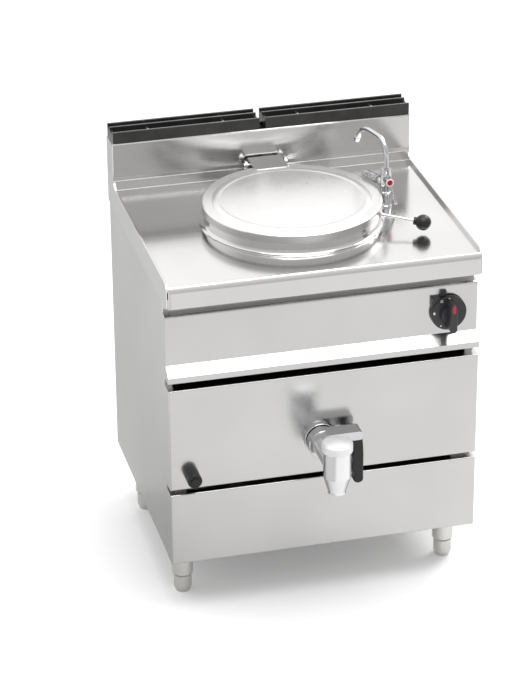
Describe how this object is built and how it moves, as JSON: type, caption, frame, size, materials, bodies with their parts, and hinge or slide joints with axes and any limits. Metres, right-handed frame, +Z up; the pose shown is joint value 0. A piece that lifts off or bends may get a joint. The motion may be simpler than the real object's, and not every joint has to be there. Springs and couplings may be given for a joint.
{
  "type": "steam jacketed kettle",
  "caption": "Free-standing gas-heated jacketed boiling kettle: polished cabinet with a round hinged lid, mixer faucet, rear flue grille, control knob and lever drain tap",
  "frame": {"origin": "on the floor, under the middle of the whole outline, tap included", "axes": "+X to the right seen from the front, +Y to the rear, +Z up"},
  "size_m": [0.8, 0.884, 1.096],
  "materials": {
    "polished_sheet": "bright polished stainless sheet",
    "plain_sheet": "mill-finish stainless sheet and tube",
    "bright_steel": "fine polished stainless steel",
    "leg_steel": "satin stainless tube",
    "chrome": "bright chromium plate",
    "grille_enamel": "dark satin enamel",
    "black_plastic": "black moulded plastic, soft sheen",
    "index_plastic": "red gloss button",
    "brass": "machined brass",
    "copper": "drawn copper tube",
    "burner_iron": "raw grey cast iron",
    "mineral_wool": "glass-cloth faced mineral wool"
  },
  "bodies": {
    "cabinet": {"worktop": "polished_sheet", "side_panel_right": "polished_sheet", "side_panel_left": "polished_sheet", "front_panel": "polished_sheet", "kick_panel": "polished_sheet", "control_panel": "polished_sheet", "flue_riser": "polished_sheet", "rear_panel": "plain_sheet", "bottom_panel": "plain_sheet", "base_frame": "plain_sheet", "body_frame": "plain_sheet", "flue_duct": "plain_sheet", "combustion_chamber": "plain_sheet", "jacket_shell": "plain_sheet", "vessel": "bright_steel", "vessel_collar": "bright_steel", "hinge_bracket": "bright_steel", "flue_grille_right": "grille_enamel", "flue_grille_left": "grille_enamel", "grille_screws": "chrome", "bracket_screws": "chrome", "hinge_pin": "chrome", "drain_flange": "chrome", "drain_nut": "chrome", "drain_valve_body": "chrome", "drain_cap": "chrome", "faucet_pillar": "chrome", "faucet_nut": "chrome", "knob_bezel": "black_plastic", "igniter_body": "black_plastic", "gas_valve": "brass", "safety_valve": "brass", "supply_inlets": "brass", "gas_pipes": "copper", "water_pipes": "copper", "burner": "burner_iron", "pilot_burner": "burner_iron", "drain_pipe": "plain_sheet", "jacket_lagging": "mineral_wool", "leg_sockets": "leg_steel"},
    "lid": {"lid": "bright_steel", "lid_hinge_plate": "bright_steel", "lid_knuckle": "bright_steel", "lid_handle_rod": "bright_steel", "lid_handle_ball": "black_plastic"},
    "drain_lever": {"drain_lever": "chrome", "drain_plug": "brass", "drain_grip": "black_plastic"},
    "gas_knob": {"control_knob": "black_plastic", "valve_spindle": "chrome"},
    "igniter_push": {"igniter_button": "black_plastic"},
    "spout": {"faucet_spout": "chrome", "aerator": "chrome"},
    "hot_lever": {"hot_handle": "chrome", "hot_index": "index_plastic"},
    "cold_knob": {"cold_handle": "chrome"},
    "foot_front_left": {"foot_front_left": "leg_steel"},
    "foot_front_right": {"foot_front_right": "leg_steel"},
    "foot_rear_left": {"foot_rear_left": "leg_steel"},
    "foot_rear_right": {"foot_rear_right": "leg_steel"}
  },
  "joints": [
    {"name": "lid_hinge", "type": "hinge", "parent": "cabinet", "child": "lid", "pos_m": [0, 0.342, 0.953], "axis": [-1, 0, 0], "range_deg": [0, 93]},
    {"name": "drain_turn", "type": "hinge", "parent": "cabinet", "child": "drain_lever", "pos_m": [-0.013, -0.29, 0.45], "axis": [0, -1, 0], "range_deg": [0, 90]},
    {"name": "gas_turn", "type": "hinge", "parent": "cabinet", "child": "gas_knob", "pos_m": [0.322, -0.25, 0.749], "axis": [0, -1, 0], "range_deg": [0, 230]},
    {"name": "igniter_press", "type": "slide", "parent": "cabinet", "child": "igniter_push", "axis": [0, 1, 0], "range_m": [0, 0.003], "stiffness_N_per_m": 300, "springref_m": -0.003},
    {"name": "spout_swivel", "type": "hinge", "parent": "cabinet", "child": "spout", "pos_m": [0.2525, 0.09, 1.001], "axis": [0, 0, 1], "range_deg": [-60, 95]},
    {"name": "hot_turn", "type": "hinge", "parent": "cabinet", "child": "hot_lever", "pos_m": [0.2525, 0.07, 0.988], "axis": [0, -1, 0], "range_deg": [0, 90]},
    {"name": "cold_turn", "type": "hinge", "parent": "cabinet", "child": "cold_knob", "pos_m": [0.2525, 0.09, 0.973], "axis": [-0.3665, 0.9304, 0], "range_deg": [0, 180]},
    {"name": "foot_screw_front_left", "type": "slide", "parent": "cabinet", "child": "foot_front_left", "axis": [0, 0, 1], "range_m": [-0.025, 0.012]},
    {"name": "foot_screw_front_right", "type": "slide", "parent": "cabinet", "child": "foot_front_right", "axis": [0, 0, 1], "range_m": [-0.025, 0.012]},
    {"name": "foot_screw_rear_left", "type": "slide", "parent": "cabinet", "child": "foot_rear_left", "axis": [0, 0, 1], "range_m": [-0.025, 0.012]},
    {"name": "foot_screw_rear_right", "type": "slide", "parent": "cabinet", "child": "foot_rear_right", "axis": [0, 0, 1], "range_m": [-0.025, 0.012]}
  ]
}
